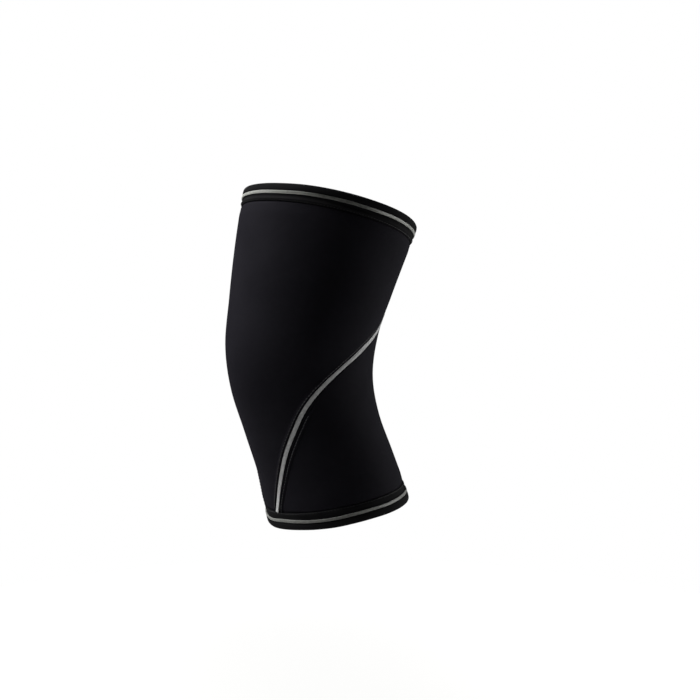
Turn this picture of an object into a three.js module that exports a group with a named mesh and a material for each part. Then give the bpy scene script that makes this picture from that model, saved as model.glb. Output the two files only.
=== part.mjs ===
// A knee sleeve: a tube of padded neoprene that is pulled over the knee and keeps the leg's form.
// Two panels meet in one arched seam, which starts low on the shin at both sides of the front and
// runs up and round to the back of the knee. A grey braid covers the seam, a folded tape binds each
// rim, and a narrow grey stripe runs round each tape.
// Millimetres. +Z is up the leg, -Y is the front of the knee, and the origin is the middle of the knee.
import * as THREE from "three";
import { mergeVertices } from "three/addons/utils/BufferGeometryUtils.js";

// The sleeve as a whole
const sleeveHeight = 237.5; // between the middles of the two rims
const kneeHalfWidth = 60; // half of the outside width across the knee
const wall = 5; // neoprene with a knit face on each side
const lowerRise = 2.4; // how far the lower rim rises at the sides
const upperRise = 1.9; // how far the upper rim rises at the sides
const riseReach = 0.3; // both rises die out over this share of the height
const clearance = 0.3; // left between pieces that lie on each other

// The tape that is folded over each rim
const tapeThickness = 0.9;
const outerLeg = 13.2;
const innerLeg = 10;
const pressedWall = 2.2; // the neoprene between the tape's legs
const tapePress = (wall - pressedWall) / 2; // how far the tape presses each face in
const pressRun = 4.5; // the neoprene swells back to full thickness over this length
const foldRadius = 0.9; // inside the fold
const rimRound = foldRadius + tapeThickness;
const edgeBevel = foldRadius - clearance / 2; // the neoprene's own edge inside the fold

// The stripe round each tape, let into a shallow groove
const stripeFromRim = 4.6;
const stripeWidth = 2.6;
const stripeThickness = 0.7;
const tapeUnderStripe = 0.4;
const stripeLetIn = tapeThickness - tapeUnderStripe;

// The braid over the arched seam, which the stitching pulls down between the panels
const braidWidth = 3;
const braidThickness = 1;
const seamSink = 1;
const seamShoulder = 0.7; // flat bed beside the braid
const seamSwell = 2.4; // from the bed's edge to the full thickness of the panel
const rounding = 0.3; // how far the edges of braid and stripe fall off

// The leg's form, from the lower rim to the upper one. Height and shift to the back are shares of
// sleeveHeight, half width and half depth are shares of kneeHalfWidth, and lean is in degrees.
const sections = [
  { height: 0, back: 0.131, lean: -9.3, halfWidth: 0.947, halfDepth: 0.973 },
  { height: 0.147, back: 0.0875, lean: -12, halfWidth: 0.9, halfDepth: 0.91 },
  { height: 0.296, back: 0.035, lean: -8.5, halfWidth: 0.875, halfDepth: 0.9 },
  { height: 0.435, back: 0, lean: -5.5, halfWidth: 0.895, halfDepth: 0.945 },
  { height: 0.574, back: 0.001, lean: -4.5, halfWidth: 0.965, halfDepth: 1.015 },
  { height: 0.713, back: 0.031, lean: -0.5, halfWidth: 1.04, halfDepth: 1.07 },
  { height: 0.852, back: 0.0635, lean: 6.5, halfWidth: 1.1, halfDepth: 1.12 },
  { height: 1, back: 0.103, lean: 13.3, halfWidth: 1.155, halfDepth: 1.18 },
];

// The arched seam on the +X side, by its turn from the front in degrees and its share of the height.
// The other side mirrors it, so the row past the back keeps the top of the arch level.
const seam = [
  { turn: 8, height: -0.009 },
  { turn: 15, height: 0.063 },
  { turn: 23, height: 0.1365 },
  { turn: 35, height: 0.2115 },
  { turn: 50, height: 0.288 },
  { turn: 70, height: 0.382 },
  { turn: 95, height: 0.4675 },
  { turn: 120, height: 0.5335 },
  { turn: 135, height: 0.5705 },
  { turn: 150, height: 0.6105 },
  { turn: 165, height: 0.64 },
  { turn: 180, height: 0.652 },
  { turn: 195, height: 0.64 },
];

// How finely the surfaces are cut
const turnStep = 7.5; // degrees between columns
const frontRows = 8; // rows over the thigh and shin, between the hems
const calfRows = 5;
const braidStep = 5; // degrees between the braid's sections
const seamBed = braidWidth / 2 + seamShoulder;
const panelEdge = tapeThickness + clearance; // the neoprene stops this far inside the rim
const hemBed = outerLeg + clearance;

const panelCloth = new THREE.MeshStandardMaterial({ color: 0x1d1d20, roughness: 0.9, metalness: 0 });
const tapeCloth = new THREE.MeshStandardMaterial({ color: 0x141416, roughness: 0.8, metalness: 0 });
const greyThread = new THREE.MeshStandardMaterial({ color: 0x8f918c, roughness: 0.75, metalness: 0 });

const radians = THREE.MathUtils.degToRad;

// A smooth curve through a table's rows: column is read at the place where key has the value at.
function smooth(rows, key, column, at) {
  const last = rows.length - 1;
  let i = 0;
  while (i < last - 1 && at > rows[i + 1][key]) i += 1;
  const span = (a, b) => rows[b][key] - rows[a][key];
  const slope = (a, b) => (rows[b][column] - rows[a][column]) / span(a, b);
  const run = span(i, i + 1);
  const t = (at - rows[i][key]) / run;
  const start = slope(Math.max(i - 1, 0), i + 1) * run;
  const end = slope(i, Math.min(i + 2, last)) * run;
  const rise = rows[i + 1][column] - rows[i][column];
  return rows[i][column] + t * (start + t * (3 * rise - 2 * start - end + t * (start + end - 2 * rise)));
}

// A point of the sleeve: turn in degrees from the front, height as a share, depth into the wall in mm.
function surfacePoint(turn, height, depth) {
  const at = (column) => smooth(sections, "height", column, height);
  const angle = radians(turn);
  const lean = radians(at("lean"));
  const across = (at("halfWidth") * kneeHalfWidth - depth) * Math.sin(angle);
  const forward = (at("halfDepth") * kneeHalfWidth - depth) * Math.cos(angle);
  const upper = Math.max(0, 1 - (1 - height) / riseReach) ** 2 * upperRise;
  const lower = Math.max(0, 1 - height / riseReach) ** 2 * lowerRise;
  const rise = Math.sin(angle) ** 2 * (upper + lower);
  return new THREE.Vector3(
    across,
    at("back") * sleeveHeight - forward * Math.cos(lean) + rise * Math.sin(lean),
    (height - 0.5) * sleeveHeight + forward * Math.sin(lean) + rise * Math.cos(lean),
  );
}

// Millimetres along the surface for a whole height, and for one degree of turn.
function upScale(turn, height) {
  const step = 0.02;
  const low = surfacePoint(turn, height - step, 0);
  return low.distanceTo(surfacePoint(turn, height + step, 0)) / (2 * step);
}

function roundScale(turn, height) {
  return surfacePoint(turn - 1, height, 0).distanceTo(surfacePoint(turn + 1, height, 0)) / 2;
}

// The share of the height that lies a length inside the lower or the upper rim, and back again.
const rimProbe = 0.03;
const aboveLowerRim = (turn, length) => length / upScale(turn, rimProbe);
const belowUpperRim = (turn, length) => 1 - length / upScale(turn, 1 - rimProbe);

function fromNearerRim(turn, height) {
  return Math.min(height * upScale(turn, rimProbe), (1 - height) * upScale(turn, 1 - rimProbe));
}

// The seam's height at a turn, and the cosine of its slope on the surface.
const seamHeight = (turn) => smooth(seam, "turn", "height", Math.abs(turn));

function seamCosine(turn) {
  const at = Math.max(Math.abs(turn), seam[1].turn);
  const rise = (seamHeight(at + 1) - seamHeight(at - 1)) * upScale(at, seamHeight(at));
  return Math.cos(Math.atan(rise / (2 * roundScale(at, seamHeight(at)))));
}

const fadeOut = (from, run, at) => 1 - THREE.MathUtils.smoothstep(at, from, from + run);

// How far a panel's faces lie inside the plain wall at a place.
function pressedIn(turn, height) {
  const inside = fromNearerRim(turn, height);
  const bevel = Math.max(0, edgeBevel + panelEdge - inside);
  return tapePress * fadeOut(hemBed, pressRun, inside) + bevel;
}

function sunkAtSeam(turn, height) {
  const away = Math.abs(height - seamHeight(turn)) * upScale(turn, height) * seamCosine(turn);
  return seamSink * fadeOut(seamBed, seamSwell, away);
}

// A closed body from a row of loops with equal numbers of points. Each loop runs up the outside and
// down the inside, and the loops follow each other round the leg from the front to +X.
function bodyFromLoops(loops, closesOnItself) {
  const count = loops[0].length;
  const corners = loops.flat().flatMap((p) => p.toArray());
  const faces = [];
  const quad = (a, b, c, d) => faces.push(a, b, c, a, c, d);
  const spans = closesOnItself ? loops.length : loops.length - 1;
  for (let i = 0; i < spans; i += 1) {
    const here = i * count;
    const next = ((i + 1) % loops.length) * count;
    for (let k = 0; k < count; k += 1) {
      const up = (k + 1) % count;
      quad(here + k, next + k, next + up, here + up);
    }
  }
  const geometry = new THREE.BufferGeometry();
  geometry.setAttribute("position", new THREE.Float32BufferAttribute(corners, 3));
  geometry.setIndex(faces);
  return withoutSlivers(mergeVertices(geometry, 1e-3));
}

// Where rows run together, their quads fold to nothing and are left out.
function withoutSlivers(geometry) {
  const index = geometry.index.array;
  const kept = [];
  for (let i = 0; i < index.length; i += 3) {
    const [a, b, c] = index.slice(i, i + 3);
    if (a !== b && b !== c && c !== a) kept.push(a, b, c);
  }
  geometry.setIndex(kept);
  geometry.computeVertexNormals();
  return geometry;
}

// Ends that are cut across get a flat cap at the first and the last loop.
function capEnds(geometry, loops) {
  const index = Array.from(geometry.index.array);
  const places = geometry.attributes.position;
  const corner = new THREE.Vector3();
  const numbers = loops.map((loop) =>
    loop.map((point) => {
      for (let i = 0; i < places.count; i += 1) {
        if (corner.fromBufferAttribute(places, i).distanceTo(point) < 1e-3) return i;
      }
      return -1;
    }),
  );
  const [first, last] = [numbers[0], numbers[numbers.length - 1]];
  for (let k = 1; k < first.length - 1; k += 1) {
    index.push(first[0], first[k], first[k + 1]);
    index.push(last[0], last[k + 1], last[k]);
  }
  geometry.setIndex(index);
  geometry.computeVertexNormals();
  return geometry;
}

function named(name, geometry, material) {
  const mesh = new THREE.Mesh(geometry, material);
  mesh.name = name;
  return mesh;
}

// The turn at which the seam's lower part reaches a length above the lower rim.
function turnOfSeamAt(length) {
  let [low, high] = [seam[0].turn, seam[3].turn];
  for (let i = 0; i < 40; i += 1) {
    const middle = (low + high) / 2;
    if (seamHeight(middle) > aboveLowerRim(middle, length)) high = middle;
    else low = middle;
  }
  return high;
}

// Turns from first to the back of the knee, evenly cut, with the places that must have a column.
function turnsToBack(first, step, places) {
  const turns = new Set([first, ...places.filter((turn) => turn > first)]);
  const count = Math.round((180 - first) / step);
  for (let i = 0; i <= count; i += 1) {
    const turn = first + ((180 - first) * i) / count;
    if (![...turns].some((other) => Math.abs(other - turn) < step / 2)) turns.add(turn);
  }
  turns.add(180);
  return [...turns].sort((a, b) => a - b);
}

// The same turns on both sides, going once round from the front.
function bothSides(turns) {
  const back = turns.filter((turn) => turn > 0 && turn < 180).map((turn) => 360 - turn);
  return [...turns, ...back.reverse()];
}

const toSide = (turn) => (turn > 180 ? turn - 360 : turn);

// Half of the gap between the panels, as a share of the height at a turn.
const seamGap = (turn) => clearance / 2 / (upScale(turn, seamHeight(turn)) * seamCosine(turn));

const tipTurn = turnOfSeamAt(panelEdge + clearance / 2);
const hemTurn = turnOfSeamAt(hemBed);
const swellTurn = turnOfSeamAt(hemBed + pressRun);
const steepTurns = [tipTurn, (tipTurn + hemTurn) / 2, hemTurn, swellTurn];

// One loop of a panel through the given heights: up its outer face and down its inner face.
function panelLoop(turn, heights) {
  const outer = heights.map((h) => surfacePoint(turn, h, pressedIn(turn, h) + sunkAtSeam(turn, h)));
  const inner = heights.map((h) => surfacePoint(turn, h, wall - pressedIn(turn, h)));
  return [...outer, ...inner.reverse()];
}

// The lower hem's rows at a turn: the neoprene's edge, its bevel, the tape's end and the swell's end.
function lowerHemRows(turn) {
  return [panelEdge, panelEdge + edgeBevel, hemBed, hemBed + pressRun].map((length) =>
    aboveLowerRim(turn, length),
  );
}

function upperHemRows(turn) {
  return [hemBed + pressRun, hemBed, panelEdge + edgeBevel, panelEdge].map((length) =>
    belowUpperRim(turn, length),
  );
}

// The large panel covers the thigh, the kneecap and the front of the shin, above the arch.
function frontPanel() {
  const turns = bothSides(turnsToBack(0, turnStep, steepTurns)).map(toSide);
  const loops = turns.map((turn) => {
    const across = upScale(turn, 0.5) * seamCosine(turn);
    const seamEdge = Math.abs(turn) < seam[0].turn ? 0 : seamHeight(turn) + seamGap(turn);
    const lower = lowerHemRows(turn).map((height) => Math.max(height, seamEdge));
    const bed = lower[3] + seamBed / across;
    const full = bed + seamSwell / across;
    const upper = upperHemRows(turn);
    const rows = Array.from({ length: frontRows }, (_, i) => {
      return full + ((upper[0] - full) * (i + 1)) / (frontRows + 1);
    });
    return panelLoop(turn, [...lower, bed, full, ...rows, ...upper]);
  });
  return named("front_panel", bodyFromLoops(loops, true), panelCloth);
}

// The smaller panel lies under the arch, over the back of the knee and the top of the calf.
function calfPanel() {
  const half = turnsToBack(tipTurn, turnStep, steepTurns);
  const back = half.filter((turn) => turn < 180).map((turn) => 360 - turn);
  const turns = [...half, ...back.reverse()].map(toSide);
  const loops = turns.map((turn) => {
    const across = upScale(turn, 0.5) * seamCosine(turn);
    const atTip = Math.abs(turn) === tipTurn;
    const hem = lowerHemRows(turn);
    const top = atTip ? hem[0] : Math.max(hem[0], seamHeight(turn) - seamGap(turn));
    const lower = hem.map((height) => Math.min(height, top));
    const bed = Math.max(lower[3], top - seamBed / across);
    const full = Math.max(lower[3], bed - seamSwell / across);
    const rows = Array.from({ length: calfRows }, (_, i) => {
      return lower[3] + ((full - lower[3]) * (i + 1)) / (calfRows + 1);
    });
    return panelLoop(turn, [...lower, ...rows, full, bed, top]);
  });
  return named("calf_panel", bodyFromLoops(loops, false), panelCloth);
}

// A ring round one rim from a profile of [length inside the rim, depth] pairs, which runs away from
// the rim on the outside and back to it on the inside.
function rimRing(profile, heightInside) {
  const loops = bothSides(turnsToBack(0, turnStep, [])).map((turn) =>
    profile.map(([length, depth]) => surfacePoint(turn, heightInside(turn, length), depth)),
  );
  return bodyFromLoops(loops, true);
}

const tapeFace = tapePress - clearance - tapeThickness;
const tapeBack = wall - tapeFace;

// The tape's section: a channel with a rounded fold, a groove for the stripe and two legs.
function tapeProfile() {
  const fold = rimRound * (1 - Math.SQRT1_2);
  const groove = [stripeFromRim - clearance, stripeFromRim + stripeWidth + clearance];
  return [
    [0, tapeFace + rimRound],
    [fold, tapeFace + fold],
    [rimRound, tapeFace],
    [groove[0], tapeFace],
    [groove[0], tapeFace + stripeLetIn],
    [groove[1], tapeFace + stripeLetIn],
    [groove[1], tapeFace],
    [outerLeg, tapeFace],
    [outerLeg, tapeFace + tapeThickness],
    [tapeThickness + foldRadius, tapeFace + tapeThickness],
    [tapeThickness, tapeFace + tapeThickness + foldRadius],
    [tapeThickness, tapeBack - tapeThickness - foldRadius],
    [tapeThickness + foldRadius, tapeBack - tapeThickness],
    [innerLeg, tapeBack - tapeThickness],
    [innerLeg, tapeBack],
    [rimRound, tapeBack],
    [fold, tapeBack - fold],
    [0, tapeBack - rimRound],
  ];
}

// The stripe's section: a low strip with rounded edges, lying in the tape's groove.
function stripeProfile() {
  const floor = tapeFace + stripeLetIn - clearance;
  const top = floor - stripeThickness;
  const [near, far] = [stripeFromRim, stripeFromRim + stripeWidth];
  return [
    [near, floor],
    [near, top + rounding],
    [near + 2 * rounding, top],
    [far - 2 * rounding, top],
    [far, top + rounding],
    [far, floor],
  ];
}

function rimPieces(place, heightInside) {
  const turned = (profile) => (place === "top" ? profile.reverse() : profile);
  return [
    named(place + "_binding", rimRing(turned(tapeProfile()), heightInside), tapeCloth),
    named(place + "_stripe", rimRing(turned(stripeProfile()), heightInside), greyThread),
  ];
}

// One section of the braid, square to the seam. At its two ends it is cut along the tape's edge.
function braidLoop(turn, atEnd) {
  const side = Math.sign(turn);
  const height = seamHeight(turn);
  const cosine = seamCosine(turn);
  const climb = Math.sqrt(1 - cosine ** 2) * (Math.abs(turn) === 180 ? 0 : 1);
  const up = upScale(turn, height);
  const round = roundScale(turn, height);
  const floor = seamSink - clearance;
  const top = floor - braidThickness;
  const half = braidWidth / 2;
  const place = (offset, depth) => {
    const turnBy = atEnd ? offset / climb : offset * climb;
    const riseBy = atEnd ? 0 : offset * cosine;
    return surfacePoint(turn - (side * turnBy) / round, height + riseBy / up, depth);
  };
  return [
    place(-half, floor),
    place(-half, top + rounding),
    place(2 * rounding - half, top),
    place(half - 2 * rounding, top),
    place(half, top + rounding),
    place(half, floor),
  ];
}

// The braid runs from one end of the arch, round the back of the knee, to the other end.
function seamBraid() {
  const first = turnOfSeamAt(outerLeg + clearance);
  const half = turnsToBack(first, braidStep, []);
  const back = half.filter((turn) => turn < 180).map((turn) => -turn);
  const turns = [...half, ...back.reverse()];
  const loops = turns.map((turn) => braidLoop(turn, Math.abs(turn) === first));
  return named("seam_stripe", capEnds(bodyFromLoops(loops, false), loops), greyThread);
}

const kneeSleeve = new THREE.Group();
kneeSleeve.name = "knee_sleeve";
kneeSleeve.add(frontPanel(), calfPanel(), seamBraid());
kneeSleeve.add(...rimPieces("top", belowUpperRim), ...rimPieces("bottom", aboveLowerRim));
export default kneeSleeve;
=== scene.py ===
import math

import bpy
import numpy as np
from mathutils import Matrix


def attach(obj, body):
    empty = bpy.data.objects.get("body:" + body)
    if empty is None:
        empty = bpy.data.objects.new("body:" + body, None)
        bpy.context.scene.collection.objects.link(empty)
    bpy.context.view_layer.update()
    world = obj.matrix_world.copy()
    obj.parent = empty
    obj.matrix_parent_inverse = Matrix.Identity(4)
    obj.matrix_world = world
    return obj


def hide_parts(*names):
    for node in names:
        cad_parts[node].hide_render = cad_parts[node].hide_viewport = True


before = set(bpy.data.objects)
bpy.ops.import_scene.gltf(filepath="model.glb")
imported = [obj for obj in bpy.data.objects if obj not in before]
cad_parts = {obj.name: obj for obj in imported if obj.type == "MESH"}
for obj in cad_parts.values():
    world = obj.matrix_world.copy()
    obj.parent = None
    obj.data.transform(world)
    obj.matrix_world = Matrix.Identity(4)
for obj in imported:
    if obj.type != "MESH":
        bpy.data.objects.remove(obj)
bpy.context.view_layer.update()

# The front panel
# Neoprene of five millimetres with black nylon jersey bonded to both faces, cut in one piece that goes
# all round above the arched seam and over the front below it. It is butted to the calf panel along the
# seam. Wearing stretches it smooth, and each rim's tape presses it flat.
mm = 0.001
sleeve_height = 237.5 * mm
knee_half_width = 60 * mm
wall = 5 * mm
lower_rise = 2.4 * mm
upper_rise = 1.9 * mm
rise_reach = 0.3
clearance = 0.3 * mm

# The worn form: height and shift to the back as shares of the sleeve's height, the lean of the section
# in degrees, and half width and half depth as shares of the knee's half width.
BACK, LEAN, HALF_WIDTH, HALF_DEPTH = 1, 2, 3, 4
form_sections = np.array([
    (0, 0.131, -9.3, 0.947, 0.973),
    (0.147, 0.0875, -12, 0.9, 0.91),
    (0.296, 0.035, -8.5, 0.875, 0.9),
    (0.435, 0, -5.5, 0.895, 0.945),
    (0.574, 0.001, -4.5, 0.965, 1.015),
    (0.713, 0.031, -0.5, 1.04, 1.07),
    (0.852, 0.0635, 6.5, 1.1, 1.12),
    (1, 0.103, 13.3, 1.155, 1.18),
])

# The arched seam: turn from the front in degrees, and height as a share of the sleeve's height.
HEIGHT = 1
seam_rows = np.array([
    (8, -0.009),
    (15, 0.063),
    (23, 0.1365),
    (35, 0.2115),
    (50, 0.288),
    (70, 0.382),
    (95, 0.4675),
    (120, 0.5335),
    (135, 0.5705),
    (150, 0.6105),
    (165, 0.64),
    (180, 0.652),
    (195, 0.64),
])


def smooth(rows, column, at):
    """A smooth curve through a table's rows, read at places along the first column."""
    key, value = rows[:, 0], rows[:, column]
    slope = np.gradient(value, key)
    slope[1:-1] = (value[2:] - value[:-2]) / (key[2:] - key[:-2])
    i = np.clip(np.searchsorted(key, at) - 1, 0, len(rows) - 2)
    run = key[i + 1] - key[i]
    rise = value[i + 1] - value[i]
    start, end = slope[i] * run, slope[i + 1] * run
    t = (at - key[i]) / run
    return value[i] + t * (start + t * (3 * rise - 2 * start - end + t * (start + end - 2 * rise)))


def sleeve_point(turn, height, depth):
    """Places on the sleeve: turn from the front in degrees, height as a share, depth into the wall."""
    angle = np.radians(turn)
    lean = np.radians(smooth(form_sections, LEAN, height))
    across = (smooth(form_sections, HALF_WIDTH, height) * knee_half_width - depth) * np.sin(angle)
    forward = (smooth(form_sections, HALF_DEPTH, height) * knee_half_width - depth) * np.cos(angle)
    back = smooth(form_sections, BACK, height) * sleeve_height
    upper = np.clip(1 - (1 - height) / rise_reach, 0, None) ** 2 * upper_rise
    lower = np.clip(1 - height / rise_reach, 0, None) ** 2 * lower_rise
    rise = np.sin(angle) ** 2 * (upper + lower)
    return np.stack(np.broadcast_arrays(
        across,
        back - forward * np.cos(lean) + rise * np.sin(lean),
        (height - 0.5) * sleeve_height + forward * np.sin(lean) + rise * np.cos(lean),
    ), -1)


def up_scale(turn, height):
    """Metres along the surface for a whole height."""
    step = 0.02
    span = sleeve_point(turn, height + step, 0) - sleeve_point(turn, height - step, 0)
    return np.linalg.norm(span, axis=-1) / (2 * step)


def round_scale(turn, height):
    """Metres along the surface for one degree of turn."""
    span = sleeve_point(turn + 1, height, 0) - sleeve_point(turn - 1, height, 0)
    return np.linalg.norm(span, axis=-1) / 2


rim_probe = 0.03


def above_lower_rim(turn, length):
    """The height at a length inside the lower rim."""
    return length / up_scale(turn, rim_probe)


def below_upper_rim(turn, length):
    """The height at a length inside the upper rim."""
    return 1 - length / up_scale(turn, 1 - rim_probe)


def seam_height(turn):
    """The seam's height at a turn to either side."""
    return smooth(seam_rows, HEIGHT, np.abs(turn))


def seam_cosine(turn):
    """The cosine of the seam's slope on the surface."""
    at = np.maximum(np.abs(turn), seam_rows[1, 0])
    rise = (seam_height(at + 1) - seam_height(at - 1)) * up_scale(at, seam_height(at))
    return np.cos(np.arctan(rise / (2 * round_scale(at, seam_height(at)))))


# How the tape and the braid shape the neoprene. From a tape's edge it rises over two runs, and the first
# is shorter at the sides. The tables give the depth of the outer face beside the seam, by the distance
# from the seam, in millimetres: a groove beside the braid, a lip along the front panel's edge, and the
# ridge of the seam's allowance on the calf side. The lip and the ridge die out between two turns.
outer_leg = 12.6 * mm
press = 1.4 * mm
near_run, side_run, far_run = 1.8 * mm, 0.7 * mm, 9 * mm
side_turns_of_run = (32, 48, 112, 126)
near_share = 0.6
tape_thickness = 0.9 * mm
fold_radius = 0.9 * mm
edge_bevel = fold_radius - clearance / 2
panel_edge = tape_thickness + clearance
hem_bed = outer_leg + clearance
front_side = np.array([
    (0, 1), (1.4, 1), (1.9, 1), (2.2, 0.7), (2.6, 0.1), (3, -0.5), (3.4, -0.65), (3.9, -0.5),
    (4.5, -0.15), (5.1, 0), (8, 0),
])
calf_side = np.array([
    (0, 1), (1.4, 1), (1.7, 1), (2.1, 0.5), (2.5, 0.12), (3, 0), (4, 0), (6, 0), (9, 0),
])
allowance = np.array([
    (0, 0), (2.5, 0), (2.8, 0.26), (3.2, 0.95), (3.5, 1), (3.9, 0.35), (4.3, -0.35), (4.7, -0.55),
    (5.2, -0.3), (5.6, 0.25), (6, 0.6), (6.5, 0.3), (7.1, 0), (8, 0), (9, 0),
])
allowance_ends = (62, 80)
lip_ends = (60, 105)
lip_left = 0.1


def outer_depth(turn, height, side):
    """How deep the outer face lies at a place."""
    turn = (turn + 180) % 360 - 180
    inside = np.minimum(height * up_scale(turn, rim_probe), (1 - height) * up_scale(turn, 1 - rim_probe))
    first_run = np.interp(np.abs(turn), side_turns_of_run, (near_run, side_run, side_run, near_run))
    near, far = (np.clip((inside - hem_bed) / run, 0, 1) for run in (first_run, far_run))
    risen = near_share * near * near * (3 - 2 * near) + (1 - near_share) * far * far * (3 - 2 * far)
    pressed = press * (1 - risen) + np.maximum(0, edge_bevel + panel_edge - inside)
    away = np.abs(height - seam_height(turn)) * up_scale(turn, height) * seam_cosine(turn) / mm
    sunk = smooth(side, 1, np.minimum(away, side[-1, 0]))
    if side is calf_side:
        fade = np.interp(np.abs(turn), allowance_ends, (1, 0))
        sunk = sunk + fade * smooth(allowance, 1, np.minimum(away, allowance[-1, 0]))
    else:
        sunk = np.where(sunk < 0, sunk * np.interp(np.abs(turn), lip_ends, (1, lip_left)), sunk)
    return pressed, pressed + sunk * mm


merge_within = 0.002 * mm
panel_crease = math.radians(50)


def neoprene_wall(name, turns, heights, side):
    """A panel as a closed wall. Each column goes up its outer face and down its inner one, and the UV
    map is the panel's cutting pattern in metres."""
    column = turns[:, None] + 0 * heights
    pressed, outer = outer_depth(column, heights, side)
    faces = [
        sleeve_point(column, heights, outer),
        sleeve_point(column, heights, wall - pressed)[:, ::-1],
    ]
    loops = np.concatenate(faces, axis=1)
    pattern = np.stack([np.radians(column) * knee_half_width, heights * sleeve_height], -1)
    pattern = np.concatenate([pattern, pattern[:, ::-1]], axis=1)
    columns, around = loops.shape[:2]
    here = np.arange(columns - 1)[:, None] * around + np.arange(around)[None]
    up = np.arange(columns - 1)[:, None] * around + (np.arange(around)[None] + 1) % around
    quads = np.stack([here, here + around, up + around, up], -1).reshape(-1, 4)
    mesh = bpy.data.meshes.new(name)
    mesh.from_pydata(loops.reshape(-1, 3).tolist(), [], quads.tolist())
    corner_pattern = pattern.reshape(-1, 2)[quads.ravel()]
    mesh.uv_layers.new(name="pattern").data.foreach_set("uv", corner_pattern.ravel())
    piece = bpy.data.objects.new(name, mesh)
    bpy.context.collection.objects.link(piece)
    edit(piece)
    bpy.ops.mesh.remove_doubles(threshold=merge_within)
    bpy.ops.mesh.normals_make_consistent(inside=False)
    bpy.ops.object.mode_set(mode="OBJECT")
    bpy.ops.object.shade_smooth_by_angle(angle=panel_crease)
    return piece


def edit(piece):
    """Opens one piece in edit mode with all of it selected."""
    bpy.ops.object.select_all(action="DESELECT")
    bpy.context.view_layer.objects.active = piece
    piece.select_set(True)
    bpy.ops.object.mode_set(mode="EDIT")
    bpy.ops.mesh.select_mode(type="VERT")
    bpy.ops.mesh.select_all(action="SELECT")


def turn_of_seam_at(length):
    """The turn at which the seam's lower part reaches a length above the lower rim."""
    samples = 400
    turns = np.linspace(seam_rows[0, 0], seam_rows[3, 0], samples)
    return np.interp(length, seam_height(turns) * up_scale(turns, rim_probe), turns)


def spread(*stretches):
    """Places from (end, step) pairs, starting at the first pair's end."""
    places = [stretches[0][0]]
    for (start, _), (end, step) in zip(stretches, stretches[1:]):
        count = max(1, round((end - start) / step))
        places += [start + (end - start) * (i + 1) / count for i in range(count)]
    return np.array(places)


# A panel's rows as ends and steps, in lengths inside a rim and in distances from the seam, and its
# columns beyond the calf panel's point, in degrees of turn from the front.
hem_rows = spread(
    (panel_edge, 0), (panel_edge + edge_bevel, 0.4 * mm), (hem_bed - 1 * mm, 3 * mm),
    (hem_bed + near_run, 0.3 * mm), (hem_bed + far_run, 0.8 * mm), (hem_bed + 13 * mm, 1 * mm))
seam_steps = spread((0, 0), (1.4 * mm, 0.7 * mm), (8 * mm, 0.3 * mm), (10 * mm, 1 * mm))[1:]
middle_rows = 40
tip_turn = turn_of_seam_at(panel_edge + clearance / 2)
side_turns = spread((tip_turn, 0), (40, 0.6), (180, 1.5))


def beside_seam(turn):
    """Half of the gap between the panels, and a metre square to the seam, as shares of the height."""
    metre = 1 / (up_scale(turn, seam_height(turn)) * seam_cosine(turn))
    return clearance / 2 * metre, metre


def front_heights(turn):
    """The heights of the front panel's rows in one column."""
    gap, metre = beside_seam(turn)
    edge = seam_height(turn) + gap if abs(turn) >= seam_rows[0, 0] else 0
    lower = np.maximum(above_lower_rim(turn, hem_rows), edge)
    seam = lower[-1] + seam_steps * metre
    upper = below_upper_rim(turn, hem_rows)[::-1]
    middle = np.linspace(seam[-1], upper[0], middle_rows + 2)[1:-1]
    return np.concatenate([lower, seam, middle, upper])


front_half = np.concatenate([spread((0, 0), (tip_turn, 1))[:-1], side_turns])
front_turns = np.concatenate([-front_half[:0:-1], front_half])
front_piece = neoprene_wall(
    "front_neoprene", front_turns, np.array([front_heights(turn) for turn in front_turns]), front_side)


def new_group(name, inputs, output):
    """A node group with named number inputs, a Vector input and one number output."""
    group = bpy.data.node_groups.new(name, "ShaderNodeTree")
    group.interface.new_socket("Vector", in_out="INPUT", socket_type="NodeSocketVector")
    for socket, value in inputs.items():
        number = group.interface.new_socket(socket, in_out="INPUT", socket_type="NodeSocketFloat")
        number.default_value = value
    group.interface.new_socket(output, in_out="OUTPUT", socket_type="NodeSocketFloat")
    return group, group.nodes.new("NodeGroupInput"), group.nodes.new("NodeGroupOutput")


def maths(tree, operation, *values):
    """A Math node fed by sockets or plain numbers, and its output."""
    node = tree.nodes.new("ShaderNodeMath")
    node.operation = operation
    for socket, value in zip(node.inputs, values):
        if isinstance(value, (int, float)):
            socket.default_value = value
        else:
            tree.links.new(value, socket)
    return node.outputs[0]


def jersey_group():
    """Fine jersey: upright wales, each a column of small V-shaped loops."""
    between_loops = 0.4
    group, given, result = new_group("fine_jersey", {"Wale": 0.6 * mm, "Course": 0.5 * mm}, "Height")
    split = group.nodes.new("ShaderNodeSeparateXYZ")
    group.links.new(given.outputs["Vector"], split.inputs[0])
    across = maths(group, "DIVIDE", split.outputs["X"], given.outputs["Wale"])
    along = maths(group, "DIVIDE", split.outputs["Y"], given.outputs["Course"])
    wale = maths(group, "PINGPONG", across, 0.5)
    slanted = maths(group, "ADD", along, wale)
    loop = maths(group, "ABSOLUTE", maths(group, "SINE", maths(group, "MULTIPLY", slanted, math.pi)))
    ridge = maths(group, "SINE", maths(group, "MULTIPLY", wale, math.pi))
    height = maths(group, "MULTIPLY", maths(group, "ADD", loop, between_loops), ridge)
    group.links.new(height, result.inputs["Height"])
    return group


def mottle_group():
    """Slow, cloudy differences of dye and pile, from 0 to 1."""
    group, given, result = new_group("mottled_dye", {"Scale": 30}, "Mask")
    cloud = group.nodes.new("ShaderNodeTexNoise")
    cloud.inputs["Detail"].default_value = 4
    group.links.new(given.outputs["Vector"], cloud.inputs["Vector"])
    group.links.new(given.outputs["Scale"], cloud.inputs["Scale"])
    group.links.new(cloud.outputs["Fac"], result.inputs["Mask"])
    return group


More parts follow.
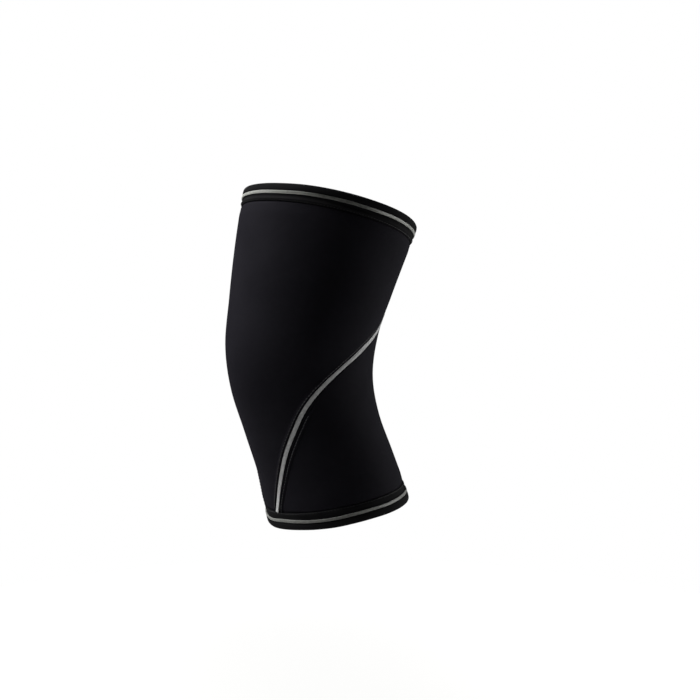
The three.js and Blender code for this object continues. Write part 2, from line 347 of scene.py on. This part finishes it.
def place_group(tree, group, vector, **values):
    """A group in a material, with its own values."""
    node = tree.nodes.new("ShaderNodeGroup")
    node.node_tree = group
    tree.links.new(vector, node.inputs["Vector"])
    for socket, value in values.items():
        node.inputs[socket].default_value = value
    return node.outputs[0]


def tinted(tree, mask, dark, light):
    """A colour between two, by a mask."""
    ramp = tree.nodes.new("ShaderNodeValToRGB")
    for stop, position, colour in zip(ramp.color_ramp.elements, (0.3, 0.7), (dark, light)):
        stop.position = position
        stop.color = (*colour, 1)
    tree.links.new(mask, ramp.inputs[0])
    return ramp.outputs[0]


def bumped(tree, height, distance):
    """A bump's normal from a height from 0 to 1."""
    bump = tree.nodes.new("ShaderNodeBump")
    bump.inputs["Distance"].default_value = distance
    tree.links.new(height, bump.inputs["Height"])
    return bump.outputs[0]


def cloth_material(name, roughness, gloss, sheen, sheen_tint=(1, 1, 1)):
    """A material for cloth, its nodes, its coordinates and its shader."""
    material = bpy.data.materials.new(name)
    material.use_nodes = True
    tree = material.node_tree
    shader = tree.nodes["Principled BSDF"]
    shader.inputs["Roughness"].default_value = roughness
    shader.inputs["Specular IOR Level"].default_value = gloss
    shader.inputs["Sheen Weight"].default_value = sheen
    shader.inputs["Sheen Roughness"].default_value = 0.4
    shader.inputs["Sheen Tint"].default_value = (*sheen_tint, 1)
    return material, tree, tree.nodes.new("ShaderNodeTexCoord"), shader


fine_jersey = jersey_group()
mottled_dye = mottle_group()


def black_jersey():
    """Matt black nylon jersey, a little blue where light grazes its pile."""
    material, tree, place, shader = cloth_material(
        "black_jersey_face", roughness=0.7, gloss=0.01, sheen=0.012, sheen_tint=(0.85, 0.8, 1))
    cloud = place_group(tree, mottled_dye, place.outputs["Object"], Scale=26)
    colour = tinted(tree, cloud, (0.011, 0.0104, 0.0134), (0.0146, 0.0139, 0.0175))
    tree.links.new(colour, shader.inputs["Base Color"])
    knit = place_group(tree, fine_jersey, place.outputs["UV"], Wale=0.5 * mm, Course=0.42 * mm)
    tree.links.new(bumped(tree, knit, 0.05 * mm), shader.inputs["Normal"])
    return material


jersey = black_jersey()
front_piece.data.materials.append(jersey)
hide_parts("front_panel")
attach(front_piece, "root")

# The calf panel
# The same neoprene, cut as a leaf that fills the arch of the seam up to the back of the knee. Its two
# points end under the lower rim's tape.


def calf_heights(turn):
    """The heights of the calf panel's rows in one column."""
    gap, metre = beside_seam(turn)
    hem = above_lower_rim(turn, hem_rows)
    top = max(hem[0], seam_height(turn) - gap) if abs(turn) > tip_turn else hem[0]
    lower = np.minimum(hem, top)
    seam = np.maximum(lower[-1], top - np.append(seam_steps[::-1], 0) * metre)
    middle = np.linspace(lower[-1], seam[0], middle_rows + 2)[1:-1]
    return np.concatenate([lower, middle, seam])


calf_turns = np.concatenate([side_turns, 360 - side_turns[-2::-1]])
calf_sides = np.where(calf_turns > 180, calf_turns - 360, calf_turns)
calf_piece = neoprene_wall(
    "calf_neoprene", calf_turns, np.array([calf_heights(turn) for turn in calf_sides]), calf_side)
calf_piece.data.materials.append(jersey)
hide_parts("calf_panel")
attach(calf_piece, "root")

# The braid over the seam
# A flat cover stitch of thick grey thread that joins the two panels edge to edge: slanted threads laid
# side by side, held down by a chain of thread along each edge. It is made straight and then laid along
# the arch, from one side of the lower rim round the back to the other, and it is wider at the back.
braid_width = 3 * mm
spread_turns = (100, 122)
spread_share = 1.3
braid_sink = 0.62 * mm
braid_base = 0.5 * mm
base_inset = 0.25 * mm
thread_pitch = 0.62 * mm
thread_thickness = 0.72 * mm
thread_overhang = 0.25 * mm
thread_slant = math.radians(24)
thread_sides = 6
strip_crease = math.radians(60)
chain_pitch = 1.25 * mm
chain_overlap = 1.25
chain_thickness = 0.5 * mm
chain_lift = 0.04 * mm
chain_slant = math.radians(7)
chain_inset = 0.28 * mm
braid_samples = 1600
braid_turns = np.linspace(turn_of_seam_at(hem_bed), 360 - turn_of_seam_at(hem_bed), braid_samples)
braid_heights = seam_height(np.where(braid_turns > 180, 360 - braid_turns, braid_turns))
braid_steps = np.linalg.norm(np.diff(sleeve_point(braid_turns, braid_heights, 0), axis=0), axis=1)
braid_run = np.concatenate([[0], np.cumsum(braid_steps)])
braid_slope = np.arctan2(
    np.gradient(braid_heights, braid_turns) * up_scale(braid_turns, braid_heights),
    round_scale(braid_turns, braid_heights))


def places_of(piece):
    """The corners of a piece's mesh."""
    corners = np.empty(len(piece.data.vertices) * 3)
    piece.data.vertices.foreach_get("co", corners)
    return corners.reshape(-1, 3)


def settle(piece, corners):
    """Gives a piece's corners their last places, closes it, turns its faces outward and smooths it."""
    piece.data.vertices.foreach_set("co", corners.ravel())
    piece.data.update()
    edit(piece)
    bpy.ops.mesh.remove_doubles(threshold=merge_within)
    bpy.ops.mesh.normals_make_consistent(inside=False)
    bpy.ops.object.mode_set(mode="OBJECT")
    bpy.ops.object.shade_smooth_by_angle(angle=strip_crease)


def lay_along_seam(piece, on_cloth=False):
    """Lays a straight strip along the arch: X runs along it, Y up to the front panel, and Z out of the
    wall or of the shaped cloth."""
    along, across, out = places_of(piece).T
    turn = np.interp(along, braid_run, braid_turns)
    height = np.interp(along, braid_run, braid_heights)
    slope = np.interp(along, braid_run, braid_slope)
    across = across * np.interp(180 - np.abs(turn - 180), spread_turns, (1, spread_share))
    turn_by = -across * np.sin(slope) / round_scale(turn, height)
    height_by = across * np.cos(slope) / up_scale(turn, height)
    turn, height = turn + turn_by, height + height_by
    if on_cloth:
        faces = [outer_depth(turn, height, side)[1] for side in (front_side, calf_side)]
        out = np.where(out > -wall / 2, out - np.where(across > 0, *faces), out)
    settle(piece, sleeve_point(turn, height, -out))


def repeat(piece, pitch, count):
    """Copies a piece along X, all in one mesh, joined where copies meet."""
    rows = piece.modifiers.new("repeat", "ARRAY")
    rows.use_relative_offset = False
    rows.use_constant_offset = True
    rows.constant_offset_displace = (pitch, 0, 0)
    rows.count = count
    rows.use_merge_vertices = True
    rows.merge_threshold = merge_within
    bpy.context.view_layer.objects.active = piece
    bpy.ops.object.modifier_apply(modifier=rows.name)


def thread(length, thickness, lift, slant, rings=6):
    """One short length of thread that dips into the cloth at both ends."""
    bpy.ops.object.select_all(action="DESELECT")
    bpy.ops.mesh.primitive_uv_sphere_add(segments=thread_sides, ring_count=rings, radius=0.5)
    piece = bpy.context.active_object
    edit(piece)
    bpy.ops.transform.rotate(value=math.pi / 2, orient_axis="Y", center_override=(0, 0, 0))
    bpy.ops.transform.resize(value=(length, thickness, thickness), center_override=(0, 0, 0))
    bpy.ops.transform.rotate(value=slant, orient_axis="Z", center_override=(0, 0, 0))
    bpy.ops.transform.translate(value=(0, 0, lift))
    bpy.ops.object.mode_set(mode="OBJECT")
    return piece


def join(name, pieces):
    """Makes one piece of several."""
    bpy.ops.object.select_all(action="DESELECT")
    for piece in pieces:
        piece.select_set(True)
    bpy.context.view_layer.objects.active = pieces[0]
    bpy.ops.object.join()
    pieces[0].name = pieces[0].data.name = name
    return pieces[0]


def shift(piece, by):
    """Moves a piece's mesh."""
    edit(piece)
    bpy.ops.transform.translate(value=by)
    bpy.ops.object.mode_set(mode="OBJECT")
    return piece


def pick(piece, kind, wanted):
    """Opens a piece in edit mode with only the wanted edges or faces selected."""
    edit(piece)
    bpy.ops.mesh.select_all(action="DESELECT")
    bpy.ops.mesh.select_mode(type=kind)
    bpy.ops.object.mode_set(mode="OBJECT")
    for part in piece.data.edges if kind == "EDGE" else piece.data.polygons:
        part.select = wanted(part)
    bpy.ops.object.mode_set(mode="EDIT")


def ribbon(length, width, thickness, bottom, steps, closed):
    """A thin straight ribbon cut into steps along X, open at its ends if they will meet round a rim."""
    bpy.ops.object.select_all(action="DESELECT")
    bpy.ops.mesh.primitive_cube_add(size=1)
    piece = bpy.context.active_object
    edit(piece)
    bpy.ops.transform.resize(value=(length, width, thickness), center_override=(0, 0, 0))
    bpy.ops.transform.translate(value=(length / 2, 0, bottom + thickness / 2))
    bpy.ops.object.mode_set(mode="OBJECT")
    if closed:
        pick(piece, "FACE", lambda face: abs(face.normal.x) > 0.9)
        bpy.ops.mesh.delete(type="ONLY_FACE")
        bpy.ops.object.mode_set(mode="OBJECT")
    along = places_of(piece)[:, 0]
    pick(piece, "EDGE", lambda edge: abs(along[edge.vertices[0]] - along[edge.vertices[1]]) > length / 2)
    bpy.ops.mesh.subdivide(number_cuts=steps - 1)
    bpy.ops.object.mode_set(mode="OBJECT")
    return piece


def cover_stitch(name, length, width, base_bottom, closed):
    """A straight strip of cover stitch: the ribbon under it, slanted threads and two edge chains."""
    count = round(length / thread_pitch)
    pitch = length / count
    base = ribbon(length, width - 2 * base_inset, braid_base, base_bottom, count // 2, closed)
    lift = base_bottom + braid_base
    threads = thread((width + thread_overhang) / math.cos(thread_slant), thread_thickness, lift,
                     math.pi / 2 - thread_slant)
    shift(threads, (pitch / 2, 0, 0))
    repeat(threads, pitch, count)
    chain_count = round(length / chain_pitch)
    chain_step = length / chain_count
    chains = []
    for side in (-1, 1):
        chain = thread(chain_step * chain_overlap, chain_thickness, lift + chain_lift,
                       side * chain_slant, rings=5)
        shift(chain, (chain_step / 2, side * (width / 2 - chain_inset), 0))
        repeat(chain, chain_step, chain_count)
        chains.append(chain)
    return join(name, [base, threads, *chains])


# Where the upper stripe's painted shade lies: the sides of the sleeve, in metres out from its middle, less
# a share of the way to its back.
painted_shade_lean = 0.25
painted_shade_from_to = (57.5 * mm, 64 * mm)


def grey_thread(name, dark, light, painted_shade_share=1):
    """Thick flat polyester thread, satin, between two greys, dimmed at the sides by a share as painted
    shade.
    """
    material, tree, place, shader = cloth_material(name, roughness=0.42, gloss=0.5, sheen=0.1)
    cloud = place_group(tree, mottled_dye, place.outputs["Object"], Scale=420)
    split = tree.nodes.new("ShaderNodeSeparateXYZ")
    tree.links.new(place.outputs["Object"], split.inputs[0])
    # Painted shade: the colour is scaled down by the share towards the sleeve's sides.
    sideways = maths(tree, "SUBTRACT", maths(tree, "ABSOLUTE", split.outputs["X"]),
                     maths(tree, "MULTIPLY", split.outputs["Y"], painted_shade_lean))
    painted_shade = tree.nodes.new("ShaderNodeMapRange")
    painted_shade.interpolation_type = "SMOOTHSTEP"
    ends = ("From Min", "From Max", "To Min", "To Max")
    for socket, value in zip(ends, (*painted_shade_from_to, 1, painted_shade_share)):
        painted_shade.inputs[socket].default_value = value
    tree.links.new(sideways, painted_shade.inputs["Value"])
    colour = tree.nodes.new("ShaderNodeVectorMath")
    colour.operation = "SCALE"
    tree.links.new(tinted(tree, cloud, dark, light), colour.inputs[0])
    tree.links.new(painted_shade.outputs[0], colour.inputs["Scale"])
    tree.links.new(colour.outputs[0], shader.inputs["Base Color"])
    fibres = tree.nodes.new("ShaderNodeTexNoise")
    fibres.inputs["Scale"].default_value = 5200
    tree.links.new(place.outputs["Object"], fibres.inputs["Vector"])
    tree.links.new(bumped(tree, fibres.outputs["Fac"], 0.05 * mm), shader.inputs["Normal"])
    return material


braid = cover_stitch("seam_braid", braid_run[-1], braid_width, -braid_sink, closed=False)
lay_along_seam(braid)
braid.data.materials.clear()
braid.data.materials.append(grey_thread("light_grey_thread", (0.47, 0.47, 0.47), (0.67, 0.67, 0.67)))
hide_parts("seam_stripe")
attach(braid, "root")

# The rims' tapes
# Each rim is bound with a black knitted tape that is folded over the neoprene and sewn down through it.
# Its outer leg is the longer one. The stitching pulls the tape down beside the grey stripe, so that it
# stands up again in a low band before its edge.
inner_leg = 10 * mm
tape_face = press - clearance - tape_thickness
tape_back = wall - tape_face
stripe_from_rim = 4.6 * mm
stripe_bed_width = 2.6 * mm
stripe_bed = 0.5 * mm
rim_round = fold_radius + tape_thickness
bend_corners = 7
inner_steps = 8
tape_steps = 300
rim_samples = 1441
# The outer leg's face on each rim: length inside it, and depth under the tape's plain face, in
# millimetres.
outer_faces = {
    "top": np.array([
        (1.8, 0), (2.6, -0.15), (3.4, -0.12), (4, 0.08), (4.4, 0.36), (4.6, 0.5), (5.9, 0.5), (7.2, 0.5),
        (7.6, 0.64), (8.2, 0.68), (8.8, 0.6), (9.4, 0.38), (10, 0), (10.6, -0.3), (11, -0.34),
        (11.4, -0.2), (11.7, 0), (12, 0.2), (12.3, 0.32), (12.6, 0.55),
    ]),
    "bottom": np.array([
        (1.8, 0), (2.6, -0.15), (3.4, -0.12), (4, 0.08), (4.4, 0.36), (4.6, 0.5), (5.9, 0.5), (7.2, 0.5),
        (7.6, 0.58), (8.2, 0.55), (8.8, 0.4), (9.4, 0.22), (10, 0.08), (10.6, 0), (11, 0), (11.4, 0.03),
        (11.7, 0.08), (12, 0.16), (12.3, 0.28), (12.6, 0.5),
    ]),
}

# How a rim wanders: turn to either side from the front, how far the fold stands out past the neoprene's
# edge, and how far the stripe's seam lies inside its marked line, in millimetres.
rim_lines = {
    "top": np.array([
        (0, 0.8, 0.4), (20, 0.7, 0.3), (35, 0.7, 0.4), (50, 1, -0.05), (65, 1, 0), (80, 0.9, 0.1),
        (95, 0.9, 0.25), (110, 1.2, -0.2), (130, 1.5, -0.3), (180, 1.3, 0),
    ]),
    "bottom": np.array([
        (0, 1.5, -0.5), (8, 1.4, -0.1), (20, 1, 0.8), (35, 0.9, 0.45), (50, 1.4, -0.25),
        (65, 1.8, -0.45), (80, 1.7, -0.1), (95, 1.8, 0), (110, 2.2, -0.25), (140, 2.5, 0.2), (180, 2.4, 0),
    ]),
}
stands_until = 4.2 * mm
wanders_from, wanders_to = 1.8 * mm, 12 * mm


def rim_turns(rim):
    """Turns round a rim from the back, and the length along it up to each."""
    turns = np.linspace(-180, 180, rim_samples)
    corners = sleeve_point(turns, 1 if rim == "top" else 0, 0)
    return turns, np.concatenate([[0], np.cumsum(np.linalg.norm(np.diff(corners, axis=0), axis=1))])


def lay_round_rim(piece, rim):
    """Lays a straight strip round a rim: X runs along it, Y is the length inside it, and Z goes out of
    the wall."""
    along, inside, out = places_of(piece).T
    turns, run = rim_turns(rim)
    turn = np.interp(along, run, turns)
    stands, wanders = (smooth(rim_lines[rim], column, np.abs(turn)) * mm for column in (1, 2))
    across = np.clip((inside - wanders_from) / (wanders_to - wanders_from), 0, 1)
    stood_out = stands * np.clip(1 - inside / stands_until, 0, None)
    inside = inside + wanders * np.sin(math.pi * across) - stood_out
    height = below_upper_rim(turn, inside) if rim == "top" else above_lower_rim(turn, inside)
    settle(piece, sleeve_point(turn, height, -out))


def tape_section(rim):
    """The tape's section as pairs of length inside the rim and depth, from the end of its outer leg, over
    the rim, to the end of its inner leg and back."""
    outside = [(length * mm, tape_face + depth * mm) for length, depth in outer_faces[rim][::-1]]
    upper_bend = [
        (rim_round * (1 - math.sin(angle)), tape_face + rim_round * (1 - math.cos(angle)))
        for angle in np.linspace(0, math.pi / 2, bend_corners)[1:]
    ]
    lower_bend = [(length, wall - depth) for length, depth in upper_bend[::-1]]
    inside = [
        (rim_round + (inner_leg - rim_round) * i / inner_steps, tape_back)
        for i in range(inner_steps + 1)
    ]
    under = tape_face + tape_thickness
    back = [(inner_leg, tape_back - tape_thickness), (rim_round, tape_back - tape_thickness),
            (tape_thickness, tape_back - rim_round), (tape_thickness, under + fold_radius),
            (rim_round, under), (outer_leg, under)]
    return outside + upper_bend + lower_bend + inside + back


def folded_tape(rim, length):
    """A straight folded tape: its section is drawn with a circle's corners, extruded by one step,
    repeated along the rim and given its UV map from the flat."""
    section = tape_section(rim)
    bpy.ops.object.select_all(action="DESELECT")
    bpy.ops.mesh.primitive_circle_add(vertices=len(section), radius=1 * mm)
    piece = bpy.context.active_object
    piece.name = piece.data.name = rim + "_tape"
    for corner, (inside, depth) in zip(piece.data.vertices, section):
        corner.co = (0, inside, -depth)
    edit(piece)
    bpy.ops.mesh.extrude_region_move(TRANSFORM_OT_translate={"value": (length / tape_steps, 0, 0)})
    bpy.ops.object.mode_set(mode="OBJECT")
    repeat(piece, length / tape_steps, tape_steps)
    flat = places_of(piece)[:, :2]
    corners = np.empty(len(piece.data.loops), dtype=int)
    piece.data.loops.foreach_get("vertex_index", corners)
    piece.data.uv_layers.new(name="tape").data.foreach_set("uv", flat[corners].ravel())
    return piece


def rib_group():
    """Knitted tape: close ribs across it, crossed by rows of small loops."""
    loop_height, between_loops = 0.8, 0.6
    group, given, result = new_group("knitted_rib", {"Rib": 0.8 * mm, "Course": 0.5 * mm}, "Height")
    split = group.nodes.new("ShaderNodeSeparateXYZ")
    group.links.new(given.outputs["Vector"], split.inputs[0])
    along = maths(group, "DIVIDE", split.outputs["X"], given.outputs["Rib"])
    ribs = maths(group, "PINGPONG", along, 0.5)
    across = maths(group, "DIVIDE", split.outputs["Y"], given.outputs["Course"])
    rows = maths(group, "PINGPONG", across, 0.5)
    ridge = maths(group, "SINE", maths(group, "MULTIPLY", ribs, math.pi))
    loop = maths(group, "ADD", maths(group, "MULTIPLY", rows, loop_height), between_loops)
    group.links.new(maths(group, "MULTIPLY", ridge, loop), result.inputs["Height"])
    return group


def black_tape():
    """Matt black knitted binding, a little duller than the jersey."""
    material, tree, place, shader = cloth_material(
        "black_knitted_tape", roughness=0.8, gloss=0.01, sheen=0.012, sheen_tint=(1, 1, 0.95))
    cloud = place_group(tree, mottled_dye, place.outputs["Object"], Scale=60)
    colour = tinted(tree, cloud, (0.009, 0.0089, 0.0096), (0.013, 0.0129, 0.0136))
    tree.links.new(colour, shader.inputs["Base Color"])
    knit = place_group(tree, rib_group(), place.outputs["UV"], Rib=0.8 * mm, Course=0.5 * mm)
    tree.links.new(bumped(tree, knit, 0.16 * mm), shader.inputs["Normal"])
    return material


tape_cloth = black_tape()
for rim in ("top", "bottom"):
    tape = folded_tape(rim, rim_turns(rim)[1][-1])
    lay_round_rim(tape, rim)
    tape.data.materials.append(tape_cloth)
    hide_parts(rim + "_binding")
    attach(tape, "root")

# The rims' grey stripes
# The same cover stitch as the braid, sewn round each tape a few millimetres inside the rim. It lies in
# the furrow that it pulls into the tape. The lower one is dimmed all round with painted shade, and the
# upper one has painted shade at its sides.
stripe_rise = 0.1 * mm
stripe_bottom = tape_face + stripe_bed - stripe_rise
stripe_width = 2.2 * mm
# Both stripe threads carry painted shade: the upper one at the sleeve's sides, the lower one dimmed all
# round.
stripe_threads = {
    "top": grey_thread("warm_grey_thread", (0.31, 0.315, 0.29), (0.44, 0.45, 0.415), painted_shade_share=0.42),
    "bottom": grey_thread("painted_shade_grey_thread", (0.22, 0.223, 0.208), (0.31, 0.316, 0.295)),
}

for rim in ("top", "bottom"):
    stripe = cover_stitch(
        rim + "_grey_stitch", rim_turns(rim)[1][-1], stripe_width, -stripe_bottom, closed=True)
    shift(stripe, (0, stripe_from_rim + stripe_bed_width / 2, 0))
    lay_round_rim(stripe, rim)
    stripe.data.materials.clear()
    stripe.data.materials.append(stripe_threads[rim])
    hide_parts(rim + "_stripe")
    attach(stripe, "root")

# The black topstitches
# Lockstitches: one charcoal row along the front panel's lip, one along the calf panel's ridge as far as
# that reaches, and a black one at each tape's edge. Inside, the braid and the stripes come through as
# pairs of plain rows.
stitch_pitch = 2.5 * mm
stitch_length = 2.05 * mm
stitch_thickness = 0.5 * mm
stitch_slant = math.radians(8)
stitch_rise = 0.05 * mm
lip_row = 3.2 * mm
ridge_row = -4.5 * mm
ridge_ends = 66
inside_row = 1.3 * mm
clear_of_tape = 2 * mm
hem_row = 11.9 * mm
hem_row_lift = 0.2 * mm
stripe_edge = 0.4 * mm


def topstitch(length, across, out, start=0):
    """A straight row of stitches."""
    count = round(length / stitch_pitch)
    row = thread(stitch_length, stitch_thickness, out, stitch_slant, rings=7)
    shift(row, (start + length / count / 2, across, 0))
    repeat(row, length / count, count)
    return row


def stitch_thread(name, gloss, dark, light):
    """Fine polyester thread, a little shinier than the cloth."""
    material, tree, place, shader = cloth_material(name, roughness=0.42, gloss=gloss, sheen=0.06)
    cloud = place_group(tree, mottled_dye, place.outputs["Object"], Scale=900)
    tree.links.new(tinted(tree, cloud, dark, light), shader.inputs["Base Color"])
    return material


def finish_stitches(piece, material):
    """Gives a piece of stitches its thread and its body."""
    piece.data.materials.clear()
    piece.data.materials.append(material)
    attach(piece, "root")


seam_length = braid_run[-1]
side_length = np.interp(ridge_ends, braid_turns, braid_run) - clear_of_tape
far_side = seam_length - clear_of_tape - side_length
seam_stitches = join("seam_topstitch", [
    topstitch(seam_length - 2 * clear_of_tape, lip_row, 0, start=clear_of_tape),
    topstitch(side_length, ridge_row, stitch_rise, start=clear_of_tape),
    topstitch(side_length, ridge_row, stitch_rise, start=far_side),
    topstitch(seam_length, -inside_row, -wall - stitch_rise),
    topstitch(seam_length, inside_row, -wall - stitch_rise),
])
lay_along_seam(seam_stitches, on_cloth=True)
charcoal = stitch_thread("charcoal_stitch_thread", 0.5, (0.03, 0.03, 0.032), (0.06, 0.06, 0.062))
finish_stitches(seam_stitches, charcoal)

black = stitch_thread("black_stitch_thread", 0.2, (0.006, 0.006, 0.0065), (0.012, 0.012, 0.013))
stripe_rows = (stripe_from_rim + stripe_edge, stripe_from_rim + stripe_bed_width - stripe_edge)
for rim in ("top", "bottom"):
    rim_length = rim_turns(rim)[1][-1]
    rim_stitches = join(rim + "_topstitch", [
        topstitch(rim_length, hem_row, -tape_face - hem_row_lift),
        *(topstitch(rim_length, row, -tape_back - stitch_rise) for row in stripe_rows),
    ])
    lay_round_rim(rim_stitches, rim)
    finish_stitches(rim_stitches, black)

# The studio
# A white room with a pale floor 46 centimetres below the middle of the sleeve. Two tall soft lights
# stand at its left and right as the camera sees it, the right one a little behind, and leave the side
# that faces the camera nearly black.
camera_turn = math.radians(65)
camera_rise = math.radians(2.6)
camera_distance = 692.6 * mm
aim_right = 37.85 * mm
aim_up = 8.84 * mm
to_camera = np.array([
    math.sin(camera_turn) * math.cos(camera_rise),
    -math.cos(camera_turn) * math.cos(camera_rise),
    math.sin(camera_rise),
])
camera_right = np.array([math.cos(camera_turn), math.sin(camera_turn), 0])
camera_up = np.cross(to_camera, camera_right)
camera = bpy.data.objects.new("camera", bpy.data.cameras.new("camera"))
camera.data.lens = 45
camera.data.sensor_width = 36
camera.data.clip_start = 0.01
camera.location = camera_right * aim_right + camera_up * aim_up + to_camera * camera_distance
camera.rotation_euler = (math.pi / 2 - camera_rise, 0, camera_turn)
bpy.context.collection.objects.link(camera)
bpy.context.scene.camera = camera


def soft_light(name, turn, distance, height, size, power):
    """A tall soft box that faces the middle of the sleeve, at a turn from its front."""
    light = bpy.data.lights.new(name, "AREA")
    light.shape = "RECTANGLE"
    light.size, light.size_y = size
    light.energy = power
    box = bpy.data.objects.new(name, light)
    angle = math.radians(turn)
    box.location = (math.sin(angle) * distance, -math.cos(angle) * distance, height)
    box.rotation_euler = (math.pi / 2 - math.atan2(height, distance), 0, angle)
    box.visible_camera = False
    bpy.context.collection.objects.link(box)


soft_light("left_light", turn=-22, distance=0.64, height=0.7, size=(0.6, 0.8), power=16)
soft_light("right_light", turn=179, distance=1.1, height=0.15, size=(0.7, 1.4), power=10.5)
seen_light, room_light = 1, 0.038


def white_room():
    """The camera sees white, and little light comes from it."""
    world = bpy.data.worlds.new("white_room")
    world.use_nodes = True
    tree = world.node_tree
    seen = tree.nodes["Background"]
    dim = tree.nodes.new("ShaderNodeBackground")
    for background, strength in ((seen, seen_light), (dim, room_light)):
        background.inputs["Color"].default_value = (1, 1, 1, 1)
        background.inputs["Strength"].default_value = strength
    ray = tree.nodes.new("ShaderNodeLightPath")
    mix = tree.nodes.new("ShaderNodeMixShader")
    tree.links.new(ray.outputs["Is Camera Ray"], mix.inputs[0])
    tree.links.new(dim.outputs[0], mix.inputs[1])
    tree.links.new(seen.outputs[0], mix.inputs[2])
    tree.links.new(mix.outputs[0], tree.nodes["World Output"].inputs[0])
    bpy.context.scene.world = world


white_room()
floor_radius = 1.05
floor_height = -0.46
floor_glow, edge_glow = 0.3, 0.5


def pale_floor():
    """A round pale floor that melts into the white room at its edge."""
    bpy.ops.object.select_all(action="DESELECT")
    bpy.ops.mesh.primitive_circle_add(vertices=128, radius=floor_radius, fill_type="NGON")
    floor = shift(bpy.context.active_object, (0, 0, floor_height))
    floor.name = floor.data.name = "floor"
    material = bpy.data.materials.new("pale_floor")
    material.use_nodes = True
    tree = material.node_tree
    shader = tree.nodes["Principled BSDF"]
    shader.inputs["Base Color"].default_value = (0.7, 0.7, 0.69, 1)
    shader.inputs["Roughness"].default_value = 0.9
    shader.inputs["Specular IOR Level"].default_value = 0.1
    shader.inputs["Emission Color"].default_value = (1, 1, 1, 1)
    place = tree.nodes.new("ShaderNodeTexCoord")
    split = tree.nodes.new("ShaderNodeSeparateXYZ")
    tree.links.new(place.outputs["Object"], split.inputs[0])
    squares = [maths(tree, "POWER", split.outputs[axis], 2) for axis in ("X", "Y")]
    outward = maths(tree, "DIVIDE", maths(tree, "ADD", *squares), floor_radius ** 2)
    ray = tree.nodes.new("ShaderNodeLightPath")
    glow = maths(tree, "ADD", maths(tree, "MULTIPLY", outward, edge_glow), floor_glow)
    seen_glow = maths(tree, "MULTIPLY", ray.outputs["Is Camera Ray"], glow)
    tree.links.new(seen_glow, shader.inputs["Emission Strength"])
    floor.data.materials.append(material)


pale_floor()
bpy.context.scene.view_settings.view_transform = "Standard"
